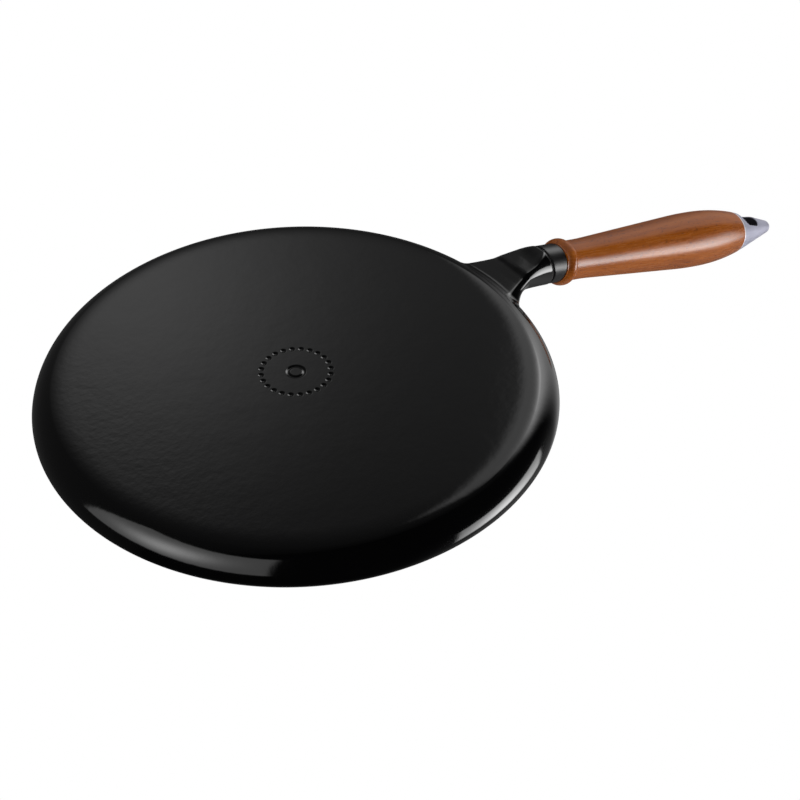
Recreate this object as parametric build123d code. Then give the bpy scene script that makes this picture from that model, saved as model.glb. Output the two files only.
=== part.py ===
from build123d import *
from math import asin, atan2, cos, pi, radians, sin, sqrt, tan
import os

# A cast-iron crepe pan with a turned wooden handle, in millimetres.
# The pan lies base down on Z = 0 with the middle of its base at the origin. The handle runs
# along +X and rises with its tilt. Places along the handle are measured on its own axis, from
# the point where that axis leaves the casting's upright end face.

# Pan disc
rim_radius = 142.5
side_width = 14.2
side_bulge = 3.23
pan_height = 17.0
lip_height = 3.0
wall_thickness = 4.2
floor_thickness = 4.4

# Neck and socket of the casting
handle_tilt = 18.0
neck_length = 36.0
socket_axis_height = 14.0
socket_radius = 11.9
neck_flat_height = 3.8
socket_flat_height = 1.7
neck_root_depth = 9.5
flare_length = 20.0
flare_reach = 14.5
flare_crest_reach = 9.5
flare_width_low = 7.1
flare_width_high = 16.0
flare_crest_height = 12.9
flare_top_height = 14.5
flat_step_length = 21.0
neck_curve_steps = 3

# Seal ring
seal_thickness = 0.9
seal_radius = 10.9

# Ferrule
ferrule_radius = 11.6
ferrule_wall = 1.5
ferrule_length = 11.0
ferrule_bevel = 0.35

# Wooden grip
grip_length = 166.2
tenon_length = 5.0
bead_width = 8.6
bead_radius = 14.15
bead_face_radius = 12.3
grip_neck_radius = 12.0
swell_distance = 22.1
swell_arc_radius = 174.0
swell_length = 95.0
belly_arc_radius = 330.0
belly_distance = 129.0
belly_radius = 17.45
seam_radius = 13.75

# End cap with its hanging eye
cap_length = 41.0
cap_shoulder_length = 10.0
cap_shoulder_radius = 11.35
nose_radius = 4.4
eye_distance = 5.0
eye_length = 17.6
eye_width = 16.0
eye_tip_width = 12.0
eye_corner_radius = 4.4
boss_length = 12.5
boss_radius = 7.2

# Tie rod
rod_radius = 4.0
rod_bore_radius = 4.6
rod_depth_in_casting = 14.0
rod_chamfer = 0.8

# Clearances, and the overrun of cuts past a face
thread_clearance = 0.1
fit_clearance = 0.2
cut_overrun = 2.0

# Shares of the wall for the lip's rounding, and of the neck's length for its cross-sections.
lip_round_share = 0.45
section_shares = [0.0, 0.15, 0.3, 0.45, 0.6, 0.78, 1.0]
# Powers by which the flares spread towards the pan, low at their foot and high at their crest.
spread_low_share = 1.35
spread_high_share = 2.0
crest_rise_share = 0.8

tilt = radians(handle_tilt)
socket_face_x = rim_radius + neck_length
handle_direction = Vector(cos(tilt), 0, sin(tilt))
handle_start = Vector(socket_face_x, 0, socket_axis_height)
handle_axis = Axis(handle_start, handle_direction)
# Half profiles of turned pieces lie in this plane: local x along the handle, local y upwards.
handle_plane = Plane(origin=handle_start, x_dir=handle_direction, z_dir=(0, -1, 0))
# Half profiles of the disc lie on the side away from the handle.
disc_plane = Plane(origin=(0, 0, 0), x_dir=(-1, 0, 0), z_dir=(0, 1, 0))
seam_place = ferrule_length + grip_length
cap_tip = seam_place + cap_length


def turned(outline):
    """A solid turned about the handle's axis from the closed outline of its half profile."""
    return revolve(handle_plane * make_face(outline), axis=handle_axis)


def bar(start, end, radius):
    """A round bar along the handle between two places on its axis."""
    middle = handle_plane * Pos((start + end) / 2, 0, 0) * Rot(0, 90, 0)
    return middle * Cylinder(radius, end - start)


def across(x_start, x_end):
    """A slab across the whole handle between two upright planes."""
    width = 2 * rim_radius
    return Pos((x_start + x_end) / 2, 0, 0) * Box(x_end - x_start, width, width)


# Pan casting

def outer_disc():
    """The disc without its hollow: flat base, convex side, and a lip that starts at an edge."""
    round_over = lip_round_share * wall_thickness
    base_edge = (rim_radius - side_width, 0)
    lip_edge = (rim_radius, pan_height - lip_height)
    lip_end = (rim_radius, pan_height - round_over)
    lip_top = (rim_radius - round_over, pan_height)
    outline = [
        Line((0, 0), base_edge),
        SagittaArc(base_edge, lip_edge, -side_bulge),
        Line(lip_edge, lip_end),
        RadiusArc(lip_end, lip_top, -round_over),
        Line(lip_top, (0, pan_height)),
        Line((0, pan_height), (0, 0)),
    ]
    return revolve(disc_plane * make_face(outline), axis=Axis.Z)


def cavity():
    """The hollow over the cooking surface: flat floor, cove, and the lip's inner rounding."""
    round_over = lip_round_share * wall_thickness
    inner_radius = rim_radius - wall_thickness
    cove_top = pan_height - round_over
    cove_radius = cove_top - floor_thickness
    floor_edge = (inner_radius - cove_radius, floor_thickness)
    wall_top = (inner_radius, cove_top)
    lip_top = (inner_radius + round_over, pan_height)
    over = pan_height + cut_overrun
    outline = [
        Line((0, floor_thickness), floor_edge),
        RadiusArc(floor_edge, wall_top, -cove_radius),
        RadiusArc(wall_top, lip_top, round_over),
        Line(lip_top, (lip_top[0], over)),
        Line((lip_top[0], over), (0, over)),
        Line((0, over), (0, floor_thickness)),
    ]
    return revolve(disc_plane * make_face(outline), axis=Axis.Z)


def flat_height(x):
    """Height of the flat underside: it falls softly from the flares' end to the socket's."""
    flare_end_x = rim_radius + flare_reach
    share = min(max((x - flare_end_x) / flat_step_length, 0), 1)
    blend = (1 - cos(pi * share)) / 2
    return neck_flat_height + (socket_flat_height - neck_flat_height) * blend


def crest_opening(x):
    """How far the flares' crest has opened at x: it starts so gently that no corner shows."""
    run = (rim_radius + flare_crest_reach - x) / flare_length
    return ((run + sqrt(run * run + 1)) / 2) ** spread_high_share


def neck_section(x):
    """Upright cross-section of the neck: a flat foot, and a curve from its ends over the top.

    Near the pan the sides spread into flares; at the end it is the slanted socket's ellipse.
    """
    centre = socket_axis_height + (x - socket_face_x) * tan(tilt)
    half_height = socket_radius / cos(tilt)
    foot = flat_height(x)
    spread = max((rim_radius + flare_reach - x) / flare_length, 0)
    spread_low = flare_width_low * spread ** spread_low_share
    spread_high = flare_width_high * (crest_opening(x) - crest_opening(socket_face_x))
    crest_blend = min(spread ** crest_rise_share, 1)
    crest = centre + (flare_crest_height - centre) * crest_blend
    top = max(centre + half_height, flare_top_height)
    foot_angle = asin((centre - foot) / half_height)
    half_curve = []
    for step in range(neck_curve_steps):
        rise = step / neck_curve_steps
        angle = foot_angle * (1 - rise)
        width = spread_low + (spread_high - spread_low) * sin(rise * pi / 2)
        y = socket_radius * cos(angle) + width
        z = centre - half_height * sin(angle) + (crest - centre) * rise
        half_curve.append((y, z))
    for step in range(neck_curve_steps):
        angle = step / neck_curve_steps * pi / 2
        y = (socket_radius + spread_high) * cos(angle)
        z = crest + (top - crest) * sin(angle)
        half_curve.append((y, z))
    curve = half_curve + [(0, top)] + [(-y, z) for y, z in reversed(half_curve)]
    plane = Plane(origin=(x, 0, 0), x_dir=(0, 1, 0), z_dir=(1, 0, 0))
    return plane * make_face([Line(curve[-1], curve[0]), Spline(*curve)])


def pan_casting():
    """Disc, lip, flared neck and slanted socket, cast in one piece."""
    root_x = rim_radius - neck_root_depth
    length = socket_face_x - root_x
    neck = loft([neck_section(root_x + share * length) for share in section_shares])
    body = outer_disc() + neck - cavity()
    bore_end = socket_radius * tan(tilt) + cut_overrun
    return body - bar(-rod_depth_in_casting, bore_end, rod_radius + thread_clearance)


# Handle pieces, from the casting outwards

def seal_ring():
    """Thin ring on the casting's end face. Like that face it stands upright."""
    reach = 2 * seal_radius
    ring = bar(-reach, reach, seal_radius) - bar(-reach, reach, rod_bore_radius)
    return ring & across(socket_face_x, socket_face_x + seal_thickness)


def ferrule():
    """Metal collar cut upright in front and square behind, so that it turns the handle up."""
    front_x = socket_face_x + seal_thickness
    start = -2 * ferrule_radius
    body = bar(start, ferrule_length, ferrule_radius)
    body -= across(front_x - 4 * ferrule_radius, front_x)
    cup_depth = tenon_length + fit_clearance
    cup_end = ferrule_length + cut_overrun
    body -= bar(ferrule_length - cup_depth, cup_end, ferrule_radius - ferrule_wall)
    body -= bar(start, ferrule_length, rod_bore_radius)
    outer_edges = body.edges().filter_by(GeomType.CIRCLE).group_by(SortBy.RADIUS)[-1]
    return chamfer(outer_edges, ferrule_bevel)


def grip():
    """Turned wooden grip: tenon, bead, slim neck, belly near the back, bored for the rod."""
    tenon_radius = ferrule_radius - ferrule_wall - fit_clearance
    front = ferrule_length
    tenon_end = (front - tenon_length, tenon_radius)
    tenon_root = (front, tenon_radius)
    bead_face = (front, bead_face_radius)
    bead_crest = (front + bead_width / 2, bead_radius)
    bead_end = (front + bead_width, grip_neck_radius)
    swell = (front + swell_distance, grip_neck_radius)
    shoulder = (swell[0] + swell_length, belly_radius)
    belly = (front + belly_distance, belly_radius)
    seam = (seam_place, seam_radius)
    outline = [
        Line((tenon_end[0], 0), tenon_end),
        Line(tenon_end, tenon_root),
        Line(tenon_root, bead_face),
        ThreePointArc(bead_face, bead_crest, bead_end),
        FilletPolyline(bead_end, swell, shoulder, belly, radius=[swell_arc_radius, belly_arc_radius]),
        TangentArc(belly, seam, tangent=(1, 0)),
        Line(seam, (seam_place, 0)),
        Line((seam_place, 0), (tenon_end[0], 0)),
    ]
    body = turned(outline)
    body -= bar(tenon_end[0] - cut_overrun, seam_place, rod_bore_radius)
    recess_start = seam_place - boss_length - fit_clearance
    return body - bar(recess_start, seam_place + cut_overrun, boss_radius + fit_clearance)


def hanging_eye():
    """The rounded, tapering hole through the cap, as a cutter across its whole thickness."""
    eye_plane = Plane(origin=handle_start, x_dir=handle_direction, z_dir=(-sin(tilt), 0, cos(tilt)))
    start = seam_place + eye_distance
    end = start + eye_length
    corners = [
        (start, -eye_width / 2),
        (end, -eye_tip_width / 2),
        (end, eye_tip_width / 2),
        (start, eye_width / 2),
    ]
    shape = make_face(Polyline(*corners, close=True))
    shape = fillet(shape.vertices(), eye_corner_radius)
    return extrude(eye_plane * shape, amount=2 * seam_radius, both=True)


def end_cap():
    """Cast metal nose with a threaded boss in front and the hanging eye through it."""
    seam = (seam_place, seam_radius)
    shoulder = (seam_place + cap_shoulder_length, cap_shoulder_radius)
    nose_centre = cap_tip - nose_radius
    run = nose_centre - shoulder[0]
    slope = asin(nose_radius / sqrt(run * run + cap_shoulder_radius * cap_shoulder_radius))
    slope = atan2(cap_shoulder_radius, run) - slope
    nose_edge = (nose_centre + nose_radius * sin(slope), nose_radius * cos(slope))
    tip = (cap_tip, 0)
    outline = [
        Line((seam_place, 0), seam),
        TangentArc(shoulder, seam, tangent=(-cos(slope), sin(slope))),
        Line(shoulder, nose_edge),
        RadiusArc(nose_edge, tip, nose_radius),
        Line(tip, (seam_place, 0)),
    ]
    body = turned(outline) - hanging_eye()
    body += bar(seam_place - boss_length, seam_place, boss_radius)
    bore_end = seam_place + rod_radius / 2
    return body - bar(seam_place - boss_length - cut_overrun, bore_end, rod_radius + thread_clearance)


def tie_rod():
    """Steel rod that draws cap, grip, ferrule and ring against the casting."""
    rod = bar(fit_clearance - rod_depth_in_casting, seam_place, rod_radius)
    return chamfer(rod.edges().filter_by(GeomType.CIRCLE), rod_chamfer)


pieces = {
    "pan_casting": pan_casting(),
    "seal_ring": seal_ring(),
    "ferrule": ferrule(),
    "grip": grip(),
    "end_cap": end_cap(),
    "tie_rod": tie_rod(),
}

os.makedirs("parts", exist_ok=True)
for name, piece in pieces.items():
    piece.label = name
    export_step(piece, f"parts/{name}.step")
    print(name, "solids", len(piece.solids()), "volume", round(piece.volume), "valid", piece.is_valid)
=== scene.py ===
from math import asin, atan2, cos, pi, radians, sin, sqrt, tan

import bmesh
import bpy
import numpy as np
from mathutils import Matrix, Vector


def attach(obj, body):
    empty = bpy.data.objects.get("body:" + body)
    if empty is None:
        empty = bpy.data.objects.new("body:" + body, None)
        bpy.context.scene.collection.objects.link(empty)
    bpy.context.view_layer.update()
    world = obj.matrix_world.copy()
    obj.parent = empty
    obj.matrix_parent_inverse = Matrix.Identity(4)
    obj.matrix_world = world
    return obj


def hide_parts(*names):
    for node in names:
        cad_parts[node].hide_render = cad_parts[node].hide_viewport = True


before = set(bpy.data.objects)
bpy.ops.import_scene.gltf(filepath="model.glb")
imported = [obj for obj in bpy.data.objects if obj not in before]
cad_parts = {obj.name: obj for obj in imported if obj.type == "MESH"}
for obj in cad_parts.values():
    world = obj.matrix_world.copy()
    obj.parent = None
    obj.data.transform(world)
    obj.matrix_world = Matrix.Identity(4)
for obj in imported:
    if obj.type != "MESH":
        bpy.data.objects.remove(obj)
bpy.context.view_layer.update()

# Camera: it looks up at the pan's underside from the side away from the handle and to its left,
# as if the pan lay upside down in front of it. Its place, directions and lens are fixed.
mm = 0.001
camera_place = Vector((-0.4313, 0.6216, -0.6499))
camera_right = Vector((0.7771, 0.6293, 0.0))
camera_up = Vector((0.4180, -0.5162, -0.7476))
camera_back = camera_right.cross(camera_up).normalized()
camera_up = camera_back.cross(camera_right).normalized()
camera_data = bpy.data.cameras.new("camera")
camera_data.sensor_width = 36.0
camera_data.lens = 83.25
camera = bpy.data.objects.new("camera", camera_data)
bpy.context.scene.collection.objects.link(camera)
turn = Matrix((camera_right.normalized(), camera_up, camera_back)).transposed()
camera.matrix_world = Matrix.Translation(camera_place) @ turn.to_4x4()
bpy.context.scene.camera = camera


# Pan casting: one piece of cast iron under black enamel. Its disc is a turned shape with a flat
# base, a convex side that starts at a soft edge, an upright lip and a coved cooking surface.
rim_radius = 142.5
side_width = 14.2
side_bulge = 3.23
pan_height = 17.0
lip_height = 3.0
wall_thickness = 4.2
floor_thickness = 4.4
lip_round = 0.45 * wall_thickness
lip_edge_z = pan_height - lip_height
chord = sqrt(side_width**2 + lip_edge_z**2)
side_radius = (chord**2 / 4 + side_bulge**2) / (2 * side_bulge)
chord_turn = atan2(lip_edge_z, side_width)
side_mid = (rim_radius - side_width / 2, lip_edge_z / 2)
side_centre = (
    side_mid[0] - sin(chord_turn) * (side_radius - side_bulge),
    side_mid[1] + cos(chord_turn) * (side_radius - side_bulge),
)


def arc(centre, radius, start, end, steps):
    """Points on an arc of a half profile, from one angle to the other."""
    return [
        (centre[0] + radius * cos(a), centre[1] + radius * sin(a))
        for a in np.linspace(start, end, steps + 1)
    ]


def skin(rings):
    """Corners and faces of a closed skin over rings; a ring of one point is a pole."""
    starts = np.cumsum([0] + [len(ring) for ring in rings])
    faces = []
    for low, high, start, after in zip(rings, rings[1:], starts, starts[1:]):
        if len(low) == 1:
            count = len(high)
            faces += [(start, after + i, after + (i + 1) % count) for i in range(count)]
        elif len(high) == 1:
            count = len(low)
            faces += [(start + (i + 1) % count, start + i, after) for i in range(count)]
        else:
            count = len(low)
            faces += [
                (start + i, after + i, after + (i + 1) % count, start + (i + 1) % count)
                for i in range(count)
            ]
    return np.concatenate(rings), faces


def piece_from(name, shells, crease=30):
    """A mesh object in metres out of closed skins in millimetres, smooth up to the crease."""
    corners, faces = [], []
    for points, polygons in shells:
        base = sum(len(c) for c in corners)
        corners.append(np.asarray(points) * mm)
        faces += [tuple(int(i) + base for i in polygon) for polygon in polygons]
    mesh = bpy.data.meshes.new(name)
    mesh.from_pydata(np.concatenate(corners).tolist(), [], faces)
    mesh.validate()
    made = bpy.data.objects.new(name, mesh)
    bpy.context.scene.collection.objects.link(made)
    turn_outwards(mesh)
    soften(mesh, crease)
    return made


def turn_outwards(mesh):
    """Turns every shell of a closed mesh so that its faces point outwards."""
    work = bmesh.new()
    work.from_mesh(mesh)
    bmesh.ops.recalc_face_normals(work, faces=work.faces)
    work.to_mesh(mesh)
    work.free()


def soften(mesh, crease):
    """Smooth shading, but sharp where two faces meet at more than the crease in degrees."""
    mesh.shade_smooth()
    mesh.set_sharp_from_angle(angle=radians(crease))


def turned_rings(profile, count):
    """Rings about +Z through the points of a half profile."""
    angles = np.linspace(0, 2 * pi, count, endpoint=False)
    rings = []
    for r, z in profile:
        if r == 0:
            rings.append(np.array([[0.0, 0.0, z]]))
        else:
            ring = (r * np.cos(angles), r * np.sin(angles), np.full(count, z))
            rings.append(np.column_stack(ring))
    return rings


inner_radius = rim_radius - wall_thickness
lip_round_z = pan_height - lip_round
cove_radius = lip_round_z - floor_thickness
base_radius = rim_radius - side_width
side_start = atan2(-side_centre[1], base_radius - side_centre[0])
side_end = atan2(lip_edge_z - side_centre[1], rim_radius - side_centre[0])
edge_loop = 0.35
lip_loop = 0.05
cove_margin = 2
disc_steps = 480
base_ease_in, base_ease_out = 10.0, 3.0
# The base's rows lie close together where the mark's ring and dimples are.
ring_rows = np.arange(2.4, 6.7, 0.3)
dimple_rows = np.arange(16.0, 22.1, 0.25)
base_radii = np.concatenate((ring_rows, [10.0], dimple_rows, [30, 60, 95]))
disc_profile = [(0, 0)] + [(r, 0) for r in base_radii]
side_arc = arc(
    side_centre,
    side_radius,
    side_start + base_ease_out / side_radius,
    side_end - edge_loop / side_radius,
    22,
)
for t in np.linspace(0, 1, 13)[:-1]:
    weights = ((1 - t) ** 2, 2 * t * (1 - t), t * t)
    corners = ((base_radius - base_ease_in, 0), (base_radius, 0), side_arc[0])
    disc_profile.append(tuple(sum(w * c[k] for w, c in zip(weights, corners)) for k in (0, 1)))
disc_profile += side_arc
disc_profile += [(rim_radius, lip_edge_z + edge_loop), (rim_radius, lip_round_z - lip_loop)]
disc_profile += arc((rim_radius - lip_round, lip_round_z), lip_round, 0, pi / 2, 9)
disc_profile += arc((inner_radius + lip_round, lip_round_z), lip_round, pi / 2, pi, 9)
disc_profile += arc((inner_radius - cove_radius, lip_round_z), cove_radius, 0, -pi / 2, 16)[1:]
floor_radii = (inner_radius - cove_radius - cove_margin, 95, 60, 30, 0)
disc_profile += [(r, floor_thickness) for r in floor_radii]
disc_shell = skin(turned_rings(disc_profile, disc_steps))

# The mark in the base is cast with the pan and softened by the enamel: a plain foundry mark, a
# circle of round dimples about a small ring.
mark_depth = 0.55
line_half_width = 0.62
line_ease = 0.72
ring_radius = 4.4
dimple_count = 24
dimple_circle_radius = 18.9
dimple_core = 0.5
mark_reach = 25


def mark_height(x, y):
    """How far the base is pressed in at a point by the ring or the nearest dimple."""
    r = np.hypot(x, y)
    step = 2 * pi / dimple_count
    turn_angle = np.arctan2(y, x)
    off = turn_angle - np.round(turn_angle / step) * step
    from_dimple = np.hypot(r * np.cos(off) - dimple_circle_radius, r * np.sin(off)) - dimple_core
    nearest = np.minimum(np.abs(r - ring_radius), from_dimple)
    share = np.clip((line_half_width + line_ease - nearest) / (2 * line_ease), 0, 1)
    return mark_depth * share * share * (3 - 2 * share)


disc_points = disc_shell[0]
marked = (np.abs(disc_points[:, 2]) < 1e-9) & (np.hypot(*disc_points[:, :2].T) < mark_reach)
disc_points[marked, 2] = mark_height(*disc_points[marked, :2].T)

# The neck grows out of the disc's side: a flat foot, sides that flare into the wall in wide
# fillets, and a slanted round socket that ends upright. It is cast in one with the disc.
handle_tilt = radians(18.0)
neck_length = 36.0
socket_face_x = rim_radius + neck_length
socket_axis_height = 14.0
socket_radius = 11.9
flare_end_x = rim_radius + 14.5
flare_crest_end_x = rim_radius + 9.5
flare_length = 20.0
flare_low_width, flare_high_width = 7.1, 16.0
flare_low_power, crest_power = 1.35, 0.8
flare_crest_height = 12.9
neck_top_height = 14.5
neck_middle_height = 9.0
neck_rows, neck_overlap = 240, 12
# The flat foot's height, and where it falls towards the socket: by how much, from which x, over
# what run.
foot_height = 4.0
foot_falls = ((0.9, 152, 6), (1.4, 165, 13))
foot_ease = 1.0
foot_ease_more, foot_ease_reach, foot_ease_run = 0.5, 2, 8
socket_end_round = 1.5
fillet_run = 3.2
fillet_run_top = 0.45
fillet_fade_height, fillet_fade_run = 12.0, 2.2
fillet_pull = 0.62


def wall_radius(z):
    """The disc's outer radius at a height."""
    low = np.clip(z, 0, lip_edge_z)
    side = side_centre[0] + np.sqrt(side_radius**2 - (low - side_centre[1]) ** 2)
    over = np.clip(z - lip_round_z, 0, lip_round)
    lip = rim_radius - lip_round + np.sqrt(lip_round**2 - over**2)
    return np.where(z < lip_edge_z, side, lip)


def wall_point(turn_angle, z, depth=0.0):
    """A point on the disc's side, or a depth under it."""
    slope = (wall_radius(z + 0.01) - wall_radius(z - 0.01)) / 0.02
    level = 1 / np.sqrt(1 + slope**2)
    r = wall_radius(z) - depth * level
    point = (r * np.cos(turn_angle), r * np.sin(turn_angle), z + depth * slope * level)
    return np.stack(point, axis=-1)


def crest_opening(x):
    """How far the flares' crest has opened at x: it starts so gently that no corner shows."""
    run = (flare_crest_end_x - x) / flare_length
    return ((run + sqrt(run * run + 1)) / 2) ** 2


def eased_step(share):
    """0 below 0, 1 above 1, and a soft rise between them."""
    return (1 - cos(pi * min(max(share, 0), 1))) / 2


def neck_outline(x):
    """Half outline (y, z) of the neck at x, from the foot's middle over the side to the top."""
    centre = socket_axis_height + (x - socket_face_x) * tan(handle_tilt)
    half_height = socket_radius / cos(handle_tilt)
    foot = foot_height
    for drop, begin, run in foot_falls:
        foot = foot - drop * eased_step((x - begin) / run)
    spread = max((flare_end_x - x) / flare_length, 0)
    low = flare_low_width * spread**flare_low_power
    high = flare_high_width * (crest_opening(x) - crest_opening(socket_face_x))
    crest = centre + (flare_crest_height - centre) * min(spread**crest_power, 1)
    top = max(centre + half_height, neck_top_height)
    foot_angle = asin((centre - foot) / half_height)
    side = []
    for rise in np.linspace(0, 1, 22):
        angle = foot_angle * (1 - rise)
        width = low + (high - low) * sin(rise * pi / 2)
        side.append((
            socket_radius * cos(angle) + width,
            centre - half_height * sin(angle) + (crest - centre) * rise,
        ))
    over = [
        ((socket_radius + high) * cos(a), crest + (top - crest) * sin(a))
        for a in np.linspace(0, pi / 2, 14)[1:]
    ]
    near_pan = eased_step((rim_radius + foot_ease_reach - x) / foot_ease_run)
    ease = foot_ease + foot_ease_more * near_pan
    path = np.array([(0, foot)] + side + over)
    corner = path[1].copy()
    steps = np.linalg.norm(np.diff(path[1:], axis=0), axis=1)
    along = np.concatenate(([0], np.cumsum(steps)))
    after = np.array([np.interp(ease, along, path[1:, k]) for k in (0, 1)])
    before = corner - (min(ease, corner[0] * 0.5), 0)
    eased = [
        before * (1 - t) ** 2 + corner * 2 * t * (1 - t) + after * t**2
        for t in np.linspace(0, 1, 9)
    ]
    rest_along = np.linspace(ease, along[-1], 34)[1:]
    rest = np.column_stack([np.interp(rest_along, along, path[1:, k]) for k in (0, 1)])
    foot_points = np.column_stack((np.linspace(0, before[0], 7)[:-1], np.full(6, foot)))
    return np.vstack((foot_points, eased, rest))


def neck_shell():
    """The neck's skin from the socket's end to fillets that land on the disc's side."""
    grid_x = np.linspace(socket_face_x, rim_radius - neck_overlap, neck_rows)
    halves = np.array([neck_outline(x) for x in grid_x])
    over_end = np.clip(socket_end_round - (socket_face_x - grid_x), 0, None)
    shrink = socket_end_round - (socket_end_round**2 - over_end**2) ** 0.5
    centres = socket_axis_height + (grid_x - socket_face_x) * tan(handle_tilt)
    offset = np.stack((halves[..., 0], halves[..., 1] - centres[:, None]), axis=-1)
    offset *= (1 - shrink[:, None, None] / np.linalg.norm(offset, axis=-1, keepdims=True))
    halves = np.stack((offset[..., 0], offset[..., 1] + centres[:, None]), axis=-1)
    other = halves[:, -2:0:-1] * (-1, 1)
    outline = np.concatenate((halves, other), axis=1)
    places = np.broadcast_to(grid_x[:, None, None], outline.shape[:2] + (1,))
    lines = np.concatenate((places, outline), axis=2)
    count = lines.shape[1]
    gap = np.hypot(lines[..., 0], lines[..., 1]) - wall_radius(lines[..., 2])
    runs, hits, bodies = [], [], []
    for j in range(count):
        first = int(np.argmax(gap[:, j] < 0))
        share = gap[first - 1, j] / (gap[first - 1, j] - gap[first, j])
        met = lines[first - 1, j] * (1 - share) + lines[first, j] * share
        line = np.vstack((lines[:first, j], met))
        steps = np.linalg.norm(np.diff(line, axis=0), axis=1)
        length = np.concatenate(([0], np.cumsum(steps)))
        hits.append(line[-1])
        top_share = min(max((line[-1][2] - fillet_fade_height) / fillet_fade_run, 0), 1)
        run = fillet_run + (fillet_run_top - fillet_run) * top_share
        stop = length[-1] - run
        # Rows lie close together at the rounded end, and evenly from there to the fillet.
        lead = np.concatenate(([0, 0.2, 0.45, 0.8], np.linspace(1.3, stop, 70)))
        bodies.append(np.column_stack([np.interp(lead, length, line[:, k]) for k in range(3)]))
        runs.append(run)
    body = np.array(bodies)
    hits = np.array(hits)
    runs = np.array(runs)
    forward = body[:, -1] - body[:, -2]
    forward /= np.linalg.norm(forward, axis=1, keepdims=True)
    sideways = np.roll(body[:, -1], -1, axis=0) - np.roll(body[:, -1], 1, axis=0)
    outward = np.cross(sideways, forward)
    middle = np.array([rim_radius, 0, neck_middle_height])
    outward *= np.sign(np.sum(outward * (hits - middle) * (0, 1, 1), axis=1))[:, None]
    outward /= np.linalg.norm(outward, axis=1, keepdims=True)
    turn_angle = np.arctan2(hits[:, 1], hits[:, 0])
    slope = (wall_radius(hits[:, 2] + 0.01) - wall_radius(hits[:, 2] - 0.01)) / 0.02
    wall_normal = np.column_stack((np.cos(turn_angle), np.sin(turn_angle), -slope))
    wall_normal /= np.linalg.norm(wall_normal, axis=1, keepdims=True)
    round_hits = np.roll(hits, -1, axis=0) - np.roll(hits, 1, axis=0)
    away = np.cross(wall_normal, round_hits)
    away *= np.sign(np.sum(away * outward, axis=1))[:, None]
    away /= np.linalg.norm(away, axis=1, keepdims=True)
    for _ in range(6):
        away = (np.roll(away, 1, axis=0) + away * 2 + np.roll(away, -1, axis=0)) / 4
    away /= np.linalg.norm(away, axis=1, keepdims=True)

    def landed(distance, depth):
        target = hits + away * distance[:, None]
        return wall_point(np.arctan2(target[:, 1], target[:, 0]), target[:, 2], depth)

    landing = landed(runs, 0.0)
    reach = runs[:, None] * fillet_pull
    handles = (body[:, -1], body[:, -1] + forward * reach, landing - away * reach, landing)
    rings = [body[:, k] for k in range(body.shape[1])]
    for t in np.linspace(0, 1, 12)[1:]:
        weights = ((1 - t) ** 3, 3 * t * (1 - t) ** 2, 3 * t * t * (1 - t), t**3)
        rings.append(sum(w * h for w, h in zip(weights, handles)))
    # Past its landing the skin dips under the wall and closes inside the disc.
    rings.append(landed(runs + 0.3, 0.05))
    rings.append(landed(runs + 0.4, 1.3))
    rings.append(np.array([[rim_radius - 2.6, 0, neck_middle_height]]))
    rings.insert(0, np.array([[socket_face_x, 0, socket_axis_height]]))
    return skin(rings)


casting = piece_from("enamelled_casting", [disc_shell, neck_shell()])
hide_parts("pan_casting")
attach(casting, "root")


class Value:
    """An output of a node tree. Arithmetic on it adds Math nodes to that tree."""

    def __init__(self, maker, socket):
        self.maker = maker
        self.socket = socket

    def out(self, name):
        """Another output of the same node."""
        return Value(self.maker, self.socket.node.outputs[name])

    def math(self, operation, *terms):
        return self.maker.node("ShaderNodeMath", {"operation": operation}, dict(enumerate(terms)))

    def __add__(self, other):
        return self.math("ADD", self, other)

    __radd__ = __add__

    def __sub__(self, other):
        return self.math("SUBTRACT", self, other)

    def __rsub__(self, other):
        return self.math("SUBTRACT", other, self)

    def __mul__(self, other):
        return self.math("MULTIPLY", self, other)

    __rmul__ = __mul__

    def __truediv__(self, other):
        return self.math("DIVIDE", self, other)

    def __pow__(self, other):
        return self.math("POWER", self, other)

    def between(self, low, high):
        """0 at or below low, 1 at or above high, and an eased run between them."""
        settings = {"clamp": True, "interpolation_type": "SMOOTHSTEP"}
        inputs = {"Value": self, "From Min": low, "From Max": high}
        return self.maker.node("ShaderNodeMapRange", settings, inputs)


class Maker:
    """Adds nodes to one tree, each with its settings first and then its sockets."""

    def __init__(self, tree):
        self.tree = tree

    def node(self, kind, settings=None, inputs=None, output=0):
        made = self.tree.nodes.new(kind)
        for name, value in (settings or {}).items():
            if name == "stops":
                ramp = made.color_ramp.elements
                while len(ramp) < len(value):
                    ramp.new(0.5)
                for stop, (place, colour) in zip(ramp, value):
                    stop.position = place
                    stop.color = (*colour, 1)
            else:
                setattr(made, name, value)
        for name, value in (inputs or {}).items():
            socket = made.inputs[name]
            if isinstance(value, Value):
                self.tree.links.new(value.socket, socket)
            else:
                socket.default_value = value
        return Value(self, made.outputs[output]) if made.outputs else None


def finish_of(name, constants):
    """A new material with its shader's constants set, its maker and its shader's links."""
    material = bpy.data.materials.new(name)
    material.use_nodes = True
    shader = material.node_tree.nodes["Principled BSDF"]
    for socket, value in constants.items():
        shader.inputs[socket].default_value = value

    def feed(socket, value):
        material.node_tree.links.new(value.socket, shader.inputs[socket])

    return material, Maker(material.node_tree), feed


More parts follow.
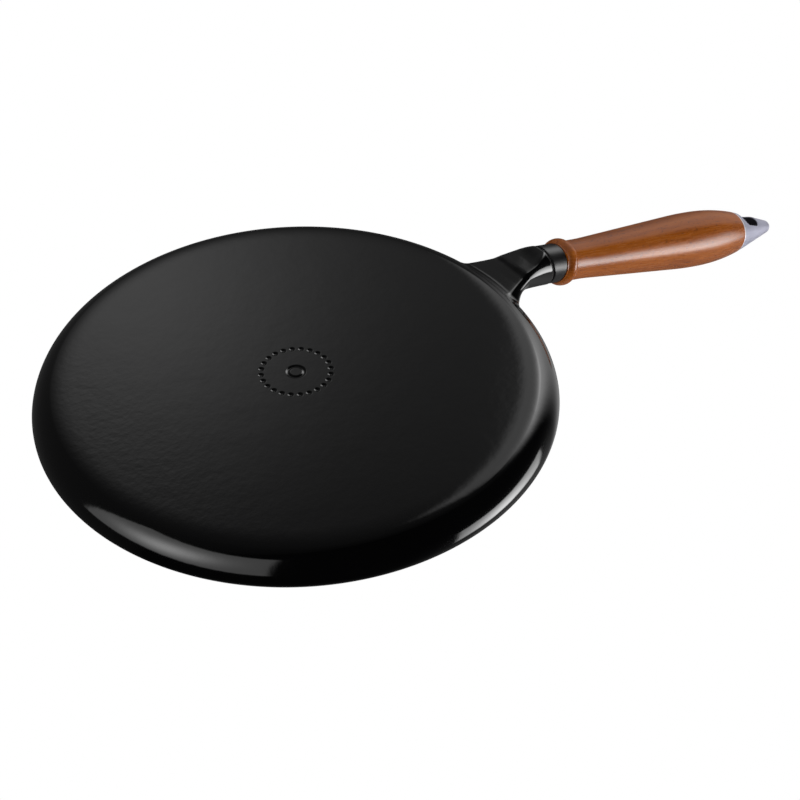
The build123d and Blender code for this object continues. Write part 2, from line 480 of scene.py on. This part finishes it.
# The enamel ripples most on the base away from the handle and over the neck. It is duller on the
# cooking side, which ends in the middle of the lip. Below that its limit is the radius 128.6 mm
# plus the height, which lies inside the metal between cove and side.
enamel, add, feed = finish_of("black_enamel", {"IOR": 1.52})
place = add.node("ShaderNodeTexCoord").out("Object")
peel = add.node("ShaderNodeTexNoise", {}, {"Vector": place, "Scale": 260.0, "Detail": 2.0})
swell = add.node("ShaderNodeTexNoise", {}, {"Vector": place, "Scale": 60.0, "Detail": 1.0})
shade = add.node("ShaderNodeTexNoise", {}, {"Vector": place, "Scale": 9.0, "Detail": 3.0})
blacks = [(0.3, (0.0005, 0.0005, 0.0006)), (0.7, (0.0012, 0.0012, 0.0014))]
feed("Base Color", add.node("ShaderNodeValToRGB", {"stops": blacks}, {"Fac": shade}))
spot_x = add.node("ShaderNodeSeparateXYZ", {}, {0: place})
spot_y = spot_x.out("Y")
spot_z = spot_x.out("Z")
from_middle = (spot_x * spot_x + spot_y * spot_y) ** 0.5
lip_middle = (rim_radius - wall_thickness / 2) * mm
between_walls = spot_z + 0.1286
hollow_edge = between_walls.math("MINIMUM", between_walls, lip_middle)
cooking_side = (hollow_edge - from_middle).between(0, 0.0006) * spot_z.between(0.0036, 0.0042)
feed("Roughness", 0.06 + 0.04 * shade + 0.3 * cooking_side)
on_base = (spot_z * -1 + 0.002).between(0.0005, 0.0015)
away_side = (spot_x * -1).between(0.05, 0.11) * on_base
cast_neck = spot_x.between(0.146, 0.153)
waves = peel * (0.4 + 0.6 * away_side) + swell * (1 + 5 * cast_neck)
ripple = {"Strength": 0.12, "Distance": 0.0004, "Height": waves}
feed("Normal", add.node("ShaderNodeBump", {}, ripple))
casting.data.materials.append(enamel)


# Seal ring: a thin black ring of heat-proof rubber between the casting's end and the ferrule.
# It is clamped there and shows only as a groove.
rubber, add, feed = finish_of("black_rubber", {"IOR": 1.45})
place = add.node("ShaderNodeTexCoord").out("Object")
dust = add.node("ShaderNodeTexNoise", {}, {"Vector": place, "Scale": 500.0, "Detail": 2.0})
greys = [(0.3, (0.006, 0.006, 0.006)), (0.8, (0.016, 0.016, 0.017))]
feed("Base Color", add.node("ShaderNodeValToRGB", {"stops": greys}, {"Fac": dust}))
feed("Roughness", 0.6 + 0.2 * dust)
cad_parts["seal_ring"].data.materials.clear()
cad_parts["seal_ring"].data.materials.append(rubber)


# Ferrule: a collar of sheet metal, painted satin black. Its front is cut upright to sit on the
# casting and its back is cut square to the handle, so it is longer on the underside.
handle_start = np.array([socket_face_x, 0, socket_axis_height])
handle_direction = np.array([cos(handle_tilt), 0, sin(handle_tilt)])
handle_rise = np.array([-sin(handle_tilt), 0, cos(handle_tilt)])
ferrule_radius = 11.6
ferrule_wall = 1.5
ferrule_length = 11.0
ferrule_edge = 0.6
ferrule_steps = 128
seal_thickness = 0.9


def along_handle(distance, radius, angle):
    """A point at a distance along the handle, turned round it from its upper side."""
    side = np.array([0.0, 1.0, 0.0])
    return (
        handle_start
        + np.multiply.outer(distance, handle_direction)
        + np.multiply.outer(radius * np.cos(angle), handle_rise)
        + np.multiply.outer(radius * np.sin(angle), side)
    )


def ferrule_rings():
    """Rings of the collar's skin, from its front lip over the outside to its inside and back."""
    angles = np.linspace(0, 2 * pi, ferrule_steps, endpoint=False)
    flat = ferrule_radius - ferrule_edge
    stations = [(0, 0, flat)] + [
        (0, ferrule_edge - ferrule_edge * sin(a), flat + ferrule_edge * cos(a))
        for a in np.linspace(pi / 2, 0, 6)
    ][1:]
    stations += [(share, 0, ferrule_radius) for share in np.linspace(0, 1, 8)[1:-1]]
    stations += [
        (1, -ferrule_edge + ferrule_edge * sin(a), flat + ferrule_edge * cos(a))
        for a in np.linspace(0, pi / 2, 6)
    ]
    inner = ferrule_radius - ferrule_wall
    stations += [(1, 0, inner), (0, 0, inner)]
    rings = []
    for share, inset, radius in stations:
        front = (seal_thickness + radius * np.cos(angles) * sin(handle_tilt)) / cos(handle_tilt)
        distance = front + (ferrule_length - front) * share + inset
        rings.append(along_handle(distance, np.full(angles.shape, radius), angles))
    rings.append(rings[0])
    return rings


def tube_skin(rings):
    """Corners and faces of a tube whose last ring is its first."""
    points, faces = skin(rings[:-1])
    count = len(rings[0])
    last = len(points) - count
    faces += [(last + i, i, (i + 1) % count, last + (i + 1) % count) for i in range(count)]
    return points, faces


collar = piece_from("ferrule_collar", [tube_skin(ferrule_rings())])
satin, add, feed = finish_of("satin_black_paint", {"IOR": 1.5})
place = add.node("ShaderNodeTexCoord").out("Object")
grit = add.node("ShaderNodeTexNoise", {}, {"Vector": place, "Scale": 900.0, "Detail": 2.0})
blacks = [(0.3, (0.0012, 0.0012, 0.0014)), (0.8, (0.0024, 0.0024, 0.0028))]
feed("Base Color", add.node("ShaderNodeValToRGB", {"stops": blacks}, {"Fac": grit}))
feed("Roughness", 0.32 + 0.06 * grit)
collar.data.materials.append(satin)
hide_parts("ferrule")
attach(collar, "root")


# Grip: beech, turned in one piece with a bead at its front and a belly near its back, stained
# orange-brown and lacquered. Its bore and its tenon are hidden and not in this mesh.
grip_length = 166.2
grip_sizes = {
    "Length": grip_length,
    "Bead Middle": 4.7,
    "Bead Radius": 14.1,
    "Bead Arc": 4.6,
    "Neck Radius": 12.0,
    "Taper": 0.0574,
    "Swell Place": 22.1,
    "Swell Ease": 5.0,
    "Shoulder Place": 117.1,
    "Shoulder Ease": 9.5,
    "Belly Place": 129.0,
    "Belly Arc": 188.9,
}


def turned_grip():
    """A cylinder whose radius follows the turned outline, laid along the handle."""
    tree = bpy.data.node_groups.new("turned_grip", "GeometryNodeTree")
    tree.interface.new_socket(name="Geometry", in_out="OUTPUT", socket_type="NodeSocketGeometry")
    sockets = {
        name: tree.interface.new_socket(name=name, in_out="INPUT", socket_type="NodeSocketFloat")
        for name in grip_sizes
    }
    add = Maker(tree)
    size = add.node("NodeGroupInput")
    length = size.out("Length")
    blank = add.node(
        "GeometryNodeMeshCylinder",
        {"fill_type": "NGON"},
        {"Vertices": 160, "Side Segments": 320, "Fill Segments": 1, "Radius": 1.0, "Depth": 1.0},
    )
    split = add.node("ShaderNodeSeparateXYZ", {}, {0: add.node("GeometryNodeInputPosition")})
    share = split.out("Z") + 0.5
    # The rows lie closer together towards the bead.
    along = length * (share * 0.3 + share * share * 0.7)

    def eased(past, ease):
        part = past / (ease * 2) + 0.5
        part = part.math("MAXIMUM", part.math("MINIMUM", part, 1.0), 0.0)
        return ease * part * part + past.math("MAXIMUM", past - ease, 0.0)

    taper = size.out("Taper")
    rise = eased(along - size.out("Swell Place"), size.out("Swell Ease"))
    level = eased(along - size.out("Shoulder Place"), size.out("Shoulder Ease"))
    past_belly = along.math("MAXIMUM", along - size.out("Belly Place"), 0.0)
    fall = past_belly * past_belly / (size.out("Belly Arc") * 2)
    body = size.out("Neck Radius") + taper * (rise - level) - fall
    bead_arc = size.out("Bead Arc")
    off_bead = along - size.out("Bead Middle")
    under = along.math("MAXIMUM", bead_arc * bead_arc - off_bead * off_bead, 0.0)
    bead = size.out("Bead Radius") - bead_arc + under.math("SQRT", under)
    radius = body.math("MAXIMUM", body, bead)
    moved = add.node(
        "ShaderNodeCombineXYZ",
        {},
        {"X": split.out("X") * radius, "Y": split.out("Y") * radius, "Z": along},
    )
    shaped = add.node("GeometryNodeSetPosition", {}, {"Geometry": blank, "Position": moved})
    seated = add.node(
        "GeometryNodeTransform",
        {},
        {
            "Geometry": shaped,
            "Rotation": (0, pi / 2 - handle_tilt, 0),
            "Translation": (handle_start + handle_direction * ferrule_length) * mm,
            "Scale": (mm, mm, mm),
        },
    )
    real = add.node("GeometryNodeRealizeInstances", {}, {"Geometry": seated})
    stained = add.node("GeometryNodeSetMaterial", {}, {"Geometry": real, "Material": beech})
    add.node("NodeGroupOutput", {}, {"Geometry": stained})
    return tree, sockets


def settled(host):
    """Puts what the host's modifiers make into its own mesh and removes them."""
    seen = host.evaluated_get(bpy.context.evaluated_depsgraph_get())
    mesh = bpy.data.meshes.new_from_object(seen)
    host.modifiers.clear()
    host.data = mesh


def grown(name, tree, sockets, sizes):
    """The plain mesh object that a tree makes with the given sizes."""
    host = bpy.data.objects.new(name, bpy.data.meshes.new(name))
    bpy.context.scene.collection.objects.link(host)
    modifier = host.modifiers.new("rule", "NODES")
    modifier.node_group = tree
    for label, value in sizes.items():
        modifier[sockets[label].identifier] = value
    settled(host)
    return host


beech, add, feed = finish_of("lacquered_beech", {"IOR": 1.5})
place = add.node("ShaderNodeTexCoord").out("Object")
turned_level = {"Vector": place, "Rotation": (0, handle_tilt, 0)}
lengthwise = add.node("ShaderNodeMapping", {}, turned_level)
stretched = add.node("ShaderNodeMapping", {}, {"Vector": lengthwise, "Scale": (0.06, 1.0, 1.0)})
fine = {"Vector": stretched, "Scale": 900.0, "Detail": 4.0, "Roughness": 0.6}
grain = add.node("ShaderNodeTexNoise", {}, fine)
broad = {"Vector": stretched, "Scale": 160.0, "Detail": 3.0, "Distortion": 0.6}
bands = add.node("ShaderNodeTexNoise", {}, broad)
short = add.node("ShaderNodeMapping", {}, {"Vector": lengthwise, "Scale": (0.35, 1.0, 1.0)})
specks = add.node("ShaderNodeTexNoise", {}, {"Vector": short, "Scale": 1100.0, "Detail": 1.0})
flecks = specks.between(0.6, 0.68)
browns = [
    (0.25, (0.13, 0.026, 0.001)),
    (0.38, (0.21, 0.048, 0.0015)),
    (0.52, (0.28, 0.069, 0.002)),
    (0.7, (0.33, 0.089, 0.004)),
]
figure = {"Fac": bands * 0.6 + grain * 0.4 - 0.2 * flecks}
feed("Base Color", add.node("ShaderNodeValToRGB", {"stops": browns}, figure))
# Slant is 1 on the grip's upper line and -1 on its lower one, where the lacquer is duller.
difference = {"operation": "SUBTRACT"}
product = {"operation": "DOT_PRODUCT"}
off_start = add.node("ShaderNodeVectorMath", difference, {0: place, 1: handle_start * mm})
height = add.node("ShaderNodeVectorMath", product, {0: off_start, 1: handle_rise}, "Value")
width = add.node("ShaderNodeSeparateXYZ", {}, {0: off_start}).out("Y")
slant = height / (height * height + width * width) ** 0.5
feed("Roughness", 0.22 + 0.1 * grain + 0.3 * (slant * -1).between(0.8, 0.95))
pores = {"Strength": 0.1, "Distance": 0.0002, "Height": grain}
feed("Normal", add.node("ShaderNodeBump", {}, pores))
grip = grown("beech_grip", *turned_grip(), grip_sizes)
turn_outwards(grip.data)
soften(grip.data, 30)
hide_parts("grip")
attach(grip, "root")


# End cap: a nose of grey cast metal on the wood's end, with a large eye for hanging the pan up.
# Its boss for the tie rod is hidden in the wood and not in this mesh.
seam_place = ferrule_length + grip_length
seam_radius = 13.75
cap_length = 41.0
cap_shoulder_length = 10.0
cap_shoulder_radius = 11.35
nose_radius = 4.4
eye_start = seam_place + 5.0
eye_end = eye_start + 17.6
eye_half_start, eye_half_end = 8.0, 6.0
eye_corner = 4.4
cutter_half_height = 30
cap_steps = 128
voxel_size = 0.32
sunk_from, sunk_run, seam_margin = 0.3, 0.5, 2
seam_band_length, seam_band_ease = 0.0011, 0.0003


def cap_outline():
    """Points (distance along the handle, radius) from the cap's face on the wood to its tip."""
    nose_centre = seam_place + cap_length - nose_radius
    shoulder_place = seam_place + cap_shoulder_length
    run = nose_centre - shoulder_place
    slope = atan2(cap_shoulder_radius, run) - asin(nose_radius / np.hypot(run, cap_shoulder_radius))
    chord_slope = atan2(seam_radius - cap_shoulder_radius, cap_shoulder_length)
    half_turn = slope - chord_slope
    chord_length = np.hypot(cap_shoulder_length, seam_radius - cap_shoulder_radius)
    bend = chord_length / (2 * sin(half_turn))
    outline = [(seam_place, seam_radius)]
    for a in np.linspace(0, 2 * half_turn, 9)[1:]:
        heading = chord_slope - half_turn
        along = seam_place + bend * (sin(heading + a) - sin(heading))
        outline.append((along, seam_radius - bend * (cos(heading) - cos(heading + a))))
    outline += [
        (nose_centre + nose_radius * sin(a), nose_radius * cos(a))
        for a in np.linspace(slope, pi / 2, 14)
    ]
    return np.array(outline)


def cap_rings():
    """Rings of the solid nose, from its face on the wood to its tip."""
    angles = np.linspace(0, 2 * pi, cap_steps, endpoint=False)
    outline = cap_outline()
    rings = [
        along_handle(np.full(cap_steps, d), np.full(cap_steps, r), angles)
        for d, r in outline[:-1]
    ]
    ends = [along_handle(np.array([d]), np.zeros(1), np.zeros(1)) for d in outline[[0, -1], 0]]
    return ends[:1] + rings + ends[1:]


def eye_rings():
    """Rings of the cutter for the eye: a rounded shape that tapers towards the tip."""
    corners = [
        (eye_start, -eye_half_start),
        (eye_end, -eye_half_end),
        (eye_end, eye_half_end),
        (eye_start, eye_half_start),
    ]
    outline = []
    for k in range(4):
        here = np.array(corners[k])
        before = np.array(corners[k - 1]) - here
        after = np.array(corners[(k + 1) % 4]) - here
        before /= np.linalg.norm(before)
        after /= np.linalg.norm(after)
        half = np.arccos(before @ after) / 2
        middle = here + (before + after) / np.linalg.norm(before + after) * eye_corner / sin(half)
        first = here + before * eye_corner / tan(half) - middle
        last = here + after * eye_corner / tan(half) - middle
        begin = atan2(first[1], first[0])
        sweep = (atan2(last[1], last[0]) - begin + pi) % (2 * pi) - pi
        for a in np.linspace(0, sweep, 9):
            outline.append(middle + eye_corner * np.array([cos(begin + a), sin(begin + a)]))
    outline = np.array(outline)
    rings = []
    for height in (-cutter_half_height, cutter_half_height):
        rings.append(
            handle_start
            + np.multiply.outer(outline[:, 0], handle_direction)
            + np.multiply.outer(outline[:, 1], np.array([0, 1.0, 0]))
            + handle_rise * height
        )
    return [rings[0].mean(axis=0, keepdims=True)] + rings + [rings[1].mean(axis=0, keepdims=True)]


cap = piece_from("cast_end_cap", [skin(cap_rings())])
cutter = piece_from("eye_cutter", [skin(eye_rings())])
pierce = cap.modifiers.new("eye", "BOOLEAN")
pierce.operation = "DIFFERENCE"
pierce.solver = "EXACT"
pierce.object = cutter
recast = cap.modifiers.new("cast", "REMESH")
recast.mode = "VOXEL"
recast.voxel_size = voxel_size * mm
ease = cap.modifiers.new("ease", "SMOOTH")
ease.factor = 0.5
ease.iterations = 5
settled(cap)
bpy.data.objects.remove(cutter)
turn_outwards(cap.data)
soften(cap.data, 60)
corners = np.array([corner.co[:] for corner in cap.data.vertices]) / mm - handle_start
along = corners @ handle_direction
off_axis = np.linalg.norm(corners - np.outer(along, handle_direction), axis=1)
under = np.interp(along, *cap_outline().T) - off_axis
# Sunk rises from 0 to 1 as a corner lies deeper inside the turned outline; it masks the eye's
# inside for its painted shade.
sunk = cap.data.attributes.new("sunk", "FLOAT", "POINT")
depth_share = np.clip((under - sunk_from) / sunk_run, 0, 1)
sunk.data.foreach_set("value", depth_share * (along > seam_place + seam_margin))
cast_metal, add, feed = finish_of("cast_grey_metal", {"Metallic": 0.45})
place = add.node("ShaderNodeTexCoord").out("Object")
grit = add.node("ShaderNodeTexNoise", {}, {"Vector": place, "Scale": 700.0, "Detail": 3.0})
cloud = add.node("ShaderNodeTexNoise", {}, {"Vector": place, "Scale": 60.0, "Detail": 2.0})
greys = [(0.3, (0.33, 0.33, 0.41)), (0.7, (0.41, 0.41, 0.50))]
tone = add.node("ShaderNodeValToRGB", {"stops": greys}, {"Fac": cloud * 0.6 + grit * 0.4})
# The eye's inside is painted dark, a painted shade of the hole, and a narrow band next to the wood
# is painted a light grey.
inside = add.node("ShaderNodeAttribute", {"attribute_name": "sunk"}, {}, "Fac")
# Painted shade: the eye's inside gets a near-black colour in place of the cast grey.
eye_painted_shade = {0: inside, 6: tone, 7: (0.03, 0.027, 0.036, 1)}
tone_with_painted_shade = add.node("ShaderNodeMix", {"data_type": "RGBA"}, eye_painted_shade, 2)
off_start = add.node("ShaderNodeVectorMath", difference, {0: place, 1: handle_start * mm})
along = add.node("ShaderNodeVectorMath", product, {0: off_start, 1: handle_direction}, "Value")
# A band about 1 mm wide next to the wood is painted light grey.
seam_band = (seam_place * mm + seam_band_length - along).between(0, seam_band_ease)
edge = {0: seam_band, 6: tone_with_painted_shade, 7: (0.78, 0.78, 0.82, 1)}
feed("Base Color", add.node("ShaderNodeMix", {"data_type": "RGBA"}, edge, 2))
feed("Roughness", 0.48 + 0.12 * grit)
sand = {"Strength": 0.15, "Distance": 0.0002, "Height": grit}
feed("Normal", add.node("ShaderNodeBump", {}, sand))
cap.data.materials.append(cast_metal)
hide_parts("end_cap")
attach(cap, "root")


# Tie rod: plain steel, threaded into the casting and into the cap. It clamps all that is between
# them, and nothing of it shows while the pan is whole.
steel, add, feed = finish_of("plain_steel", {"Metallic": 1.0})
place = add.node("ShaderNodeTexCoord").out("Object")
drawn = add.node("ShaderNodeTexNoise", {}, {"Vector": place, "Scale": 400.0, "Detail": 3.0})
greys = [(0.3, (0.42, 0.42, 0.43)), (0.7, (0.56, 0.56, 0.57))]
feed("Base Color", add.node("ShaderNodeValToRGB", {"stops": greys}, {"Fac": drawn}))
feed("Roughness", 0.3 + 0.15 * drawn)
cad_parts["tie_rod"].data.materials.clear()
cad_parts["tie_rod"].data.materials.append(steel)


# Studio: a pale floor that is seen only from above and fades into the white ground, large lamps for
# the colours, and round it all a dome of black cloth with soft boxes, which only reflections show.
lamp_distance = 1.6
dome_radius = 4.0
ambient_level = 0.45
floor_size, floor_gap = 12.0, 0.4 * mm
fade_start, fade_end = 0.5, 1.8


def direction(azimuth, elevation):
    """Unit vector that points at an azimuth from +X and an elevation, in degrees."""
    a, e = radians(azimuth), radians(elevation)
    return Vector((cos(e) * cos(a), cos(e) * sin(a), sin(e)))


def lamp(name, azimuth, elevation, size, power):
    """A square area lamp that faces the pan and shows in no reflection."""
    data = bpy.data.lights.new(name, "AREA")
    data.size = size
    data.energy = power
    holder = bpy.data.objects.new(name, data)
    out = direction(azimuth, elevation)
    holder.location = out * lamp_distance
    holder.rotation_euler = out.to_track_quat("Z", "Y").to_euler()
    holder.visible_camera = False
    holder.visible_glossy = False
    bpy.context.scene.collection.objects.link(holder)


lamp("left_lamp", 180, -31, 1.2, 3.6)
lamp("right_lamp", 40, 9, 0.8, 12.0)
lamp("back_lamp", -20, -35, 0.8, 5.0)
lamp("top_lamp", 100, 65, 1.2, 14.0)

# The white ground is seen at full level and lights matt surfaces at a lower one. Reflections don't
# reach it, as the dome is in their way.
world = bpy.data.worlds.new("studio")
bpy.context.scene.world = world
world.use_nodes = True
add = Maker(world.node_tree)
ray = add.node("ShaderNodeLightPath")
shown = ray.math("MAXIMUM", ray.out("Is Camera Ray"), ray.out("Is Glossy Ray"))
shown = shown.math("MAXIMUM", shown, ray.out("Is Transmission Ray"))
background = world.node_tree.nodes["Background"]
level = ambient_level + (1 - ambient_level) * shown
world.node_tree.links.new(level.socket, background.inputs["Strength"])
background.inputs["Color"].default_value = (1, 1, 1, 1)

bpy.ops.mesh.primitive_uv_sphere_add(segments=64, ring_count=32, radius=1.0, location=(0, 0, 0))
dome = bpy.context.object
dome.name = "cloth_dome"
dome.data.transform(Matrix.Scale(dome_radius, 4))
cloth = bpy.data.materials.new("cloth_dome")
cloth.use_nodes = True
cloth.node_tree.nodes.clear()
add = Maker(cloth.node_tree)
place = add.node("ShaderNodeTexCoord").out("Object")
way = add.node("ShaderNodeVectorMath", {"operation": "NORMALIZE"}, {0: place})
rise = add.node("ShaderNodeSeparateXYZ", {}, {0: way}).out("Z")
rise = rise.math("ARCSINE", rise) * (180 / pi)


def toward(vector):
    """How far the dome's direction points along a vector."""
    return add.node("ShaderNodeVectorMath", product, {0: way, 1: vector}, "Value")


def glow(azimuth, elevation, sharpness, strength):
    """A round patch of light that fades from its middle."""
    near = toward(direction(azimuth, elevation))
    return near.math("MAXIMUM", near, 0.0) ** sharpness * strength


def soft_box(azimuth, half_width, low, high, edge):
    """1 in an upright rectangle between two elevations, 0 outside; all in degrees, the edge too."""
    ahead = toward(direction(azimuth, 0))
    beside = toward(direction(azimuth + 90, 0))
    off = beside.math("ARCTAN2", beside, ahead) * (180 / pi)
    off = off.math("ABSOLUTE", off)
    across = (half_width - off).between(0, edge)
    return across * (rise - low).between(0, edge) * (high - rise).between(0, edge)


# The glows come first, the last of them nearly overhead, then the boxes, three of the four with
# a brighter core.
light = 0.009 + glow(-63, -37, 150, 0.64) + glow(-70, -30, 40, 0.18) + glow(-45, -36, 40, 0.12)
light = light + glow(-86, -10, 0.4, 0.065) + glow(34, 36, 8, 0.38) + glow(120, 84, 10, 0.45)
light = light + soft_box(175.5, 39, -58, -1, 3.5) * (1.0 + glow(180, -27, 25, 3.6))
light = light + soft_box(42.5, 25, -2, 23, 3) * (2.8 + glow(44, 17, 30, 7.4))
light = light + soft_box(-15, 23, -53, 54, 20) * (0.48 + glow(-29, -45, 5.6, 3.4))
light = light + soft_box(-29, 16, -56, -22, 5) * 0.7
shine = add.node("ShaderNodeEmission", {}, {"Color": light, "Strength": 1.0})
add.node("ShaderNodeOutputMaterial", {}, {"Surface": shine})
dome.data.materials.append(cloth)
dome.visible_camera = False
dome.visible_diffuse = False
dome.visible_transmission = False
dome.visible_volume_scatter = False
dome.visible_shadow = False

bpy.ops.mesh.primitive_plane_add(size=floor_size, location=(0, 0, -floor_gap))
floor = bpy.context.object
floor.name = "floor"
pale = bpy.data.materials.new("pale_floor")
pale.use_nodes = True
pale.node_tree.nodes.clear()
add = Maker(pale.node_tree)
below = add.node("ShaderNodeNewGeometry").out("Backfacing")
place = add.node("ShaderNodeTexCoord").out("Object")
far = add.node("ShaderNodeVectorMath", {"operation": "LENGTH"}, {0: place}, "Value")
hidden = below.math("MAXIMUM", below, far.between(fade_start, fade_end))
matt = add.node("ShaderNodeBsdfDiffuse", {}, {"Color": (0.9, 0.9, 0.9, 1)})
clear = add.node("ShaderNodeBsdfTransparent")
sided = add.node("ShaderNodeMixShader", {}, {"Fac": hidden, 1: matt, 2: clear})
add.node("ShaderNodeOutputMaterial", {}, {"Surface": sided})
floor.data.materials.append(pale)
floor.visible_diffuse = False
floor.visible_glossy = False
floor.visible_transmission = False
floor.visible_volume_scatter = False
floor.visible_shadow = False
bpy.context.scene.view_settings.view_transform = "Standard"
